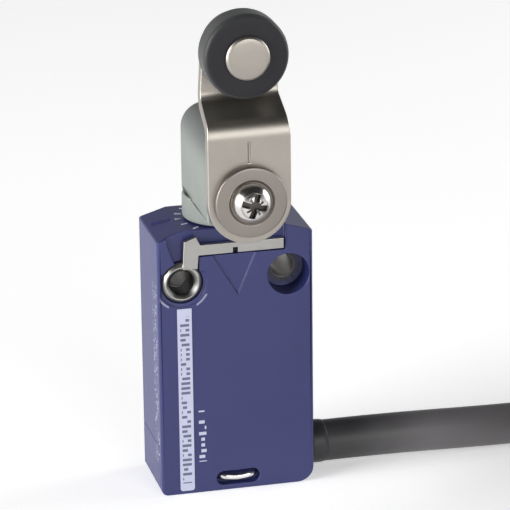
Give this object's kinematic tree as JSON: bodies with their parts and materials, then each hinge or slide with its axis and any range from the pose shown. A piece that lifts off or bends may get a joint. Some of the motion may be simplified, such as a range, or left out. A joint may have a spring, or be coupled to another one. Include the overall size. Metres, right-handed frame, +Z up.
{
  "type": "limit switch",
  "caption": "Miniature limit switch: painted metal body, turning head with a spring-return roller lever, lock lever and a side cable wound in a tied coil.",
  "frame": {"origin": "centre of the body's flat bottom face", "axes": "+X to the right of the front face, towards the cable; +Y from the front face to the back; +Z up, towards the roller"},
  "size_m": [0.1583, 0.0979, 0.0944],
  "materials": {
    "blue_paint": "satin painted zinc die casting",
    "cast_metal": "matte silver painted zinc die casting",
    "nickel_steel": "nickel plated steel",
    "polished_steel": "bright plated steel",
    "spring_steel": "spring wire",
    "black_plastic": "moulded polyamide",
    "cream_plastic": "moulded thermoset",
    "yellow_plastic": "moulded polyamide",
    "rubber": "nitrile rubber",
    "cable_jacket": "PVC sheath",
    "core_insulation": "PVC core insulation",
    "copper": "bare copper strands",
    "brass": "bare brass",
    "bronze": "sintered bronze",
    "silver": "silver contact rivet",
    "resin": "potting resin",
    "board": "glass fibre board",
    "white_film": "printed film"
  },
  "bodies": {
    "root": {"body_housing": "blue_paint", "connection_block": "blue_paint", "block_clip": "polished_steel", "block_gasket": "rubber", "potting": "resin", "wiring_board": "board", "contact_case": "cream_plastic", "contact_cover": "cream_plastic", "nc_contacts": "brass", "no_contacts": "brass", "fixed_tips": "silver", "return_spring": "spring_steel", "plunger_seal": "rubber", "label_strip": "white_film", "index_marks": "white_film", "cable_boot": "black_plastic", "cable_sheath": "cable_jacket", "cable_coil": "cable_jacket", "coil_tie": "black_plastic", "cable_cores": "core_insulation", "core_strands": "copper"},
    "lock": {"lock_lever": "nickel_steel"},
    "slider": {"plunger": "polished_steel", "contact_carriage": "yellow_plastic", "contact_spring": "spring_steel"},
    "bridge": {"contact_bridge": "brass", "bridge_tips": "silver"},
    "head": {"head_housing": "cast_metal", "head_cap": "cast_metal", "head_bush": "bronze", "shaft_seal": "rubber", "head_seal": "rubber", "torsion_spring": "spring_steel"},
    "lever": {"drive_shaft": "polished_steel", "cam": "polished_steel", "retaining_ring": "spring_steel", "lever_plate": "nickel_steel", "lever_washer": "nickel_steel", "lever_screw": "polished_steel", "roller_pin": "nickel_steel", "roller_spacer": "nickel_steel"},
    "roller": {"roller": "black_plastic"}
  },
  "joints": [
    {"name": "head_turn", "type": "hinge", "parent": "root", "child": "head", "pos_m": [0, 0, 0.0513], "axis": [0, 0, 1], "continuous": true},
    {"name": "lever_swing", "type": "hinge", "parent": "head", "child": "lever", "pos_m": [0, -0.016, 0.0605], "axis": [0, 1, 0], "range_deg": [-60, 60], "stiffness_Nm_per_rad": 0.1},
    {"name": "roller_spin", "type": "hinge", "parent": "lever", "child": "roller", "pos_m": [0, -0.01635, 0.0866], "axis": [0, 1, 0], "continuous": true},
    {"name": "lock_swing", "type": "hinge", "parent": "root", "child": "lock", "pos_m": [-0.01, -0.008, 0.0416], "axis": [0, -1, 0], "range_deg": [0, 10]},
    {"name": "plunger_travel", "type": "slide", "parent": "root", "child": "slider", "axis": [0, 0, -1], "range_m": [0, 0.003], "stiffness_N_per_m": 300, "springref_m": -0.002, "deforming": ["return_spring"]},
    {"name": "bridge_travel", "type": "slide", "parent": "root", "child": "bridge", "axis": [0, 0, -1], "range_m": [0, 0.0012], "deforming": ["contact_spring"]}
  ],
  "couplings": [
    {"joint": "bridge_travel", "follows": "plunger_travel", "ratio": 0.4}
  ]
}
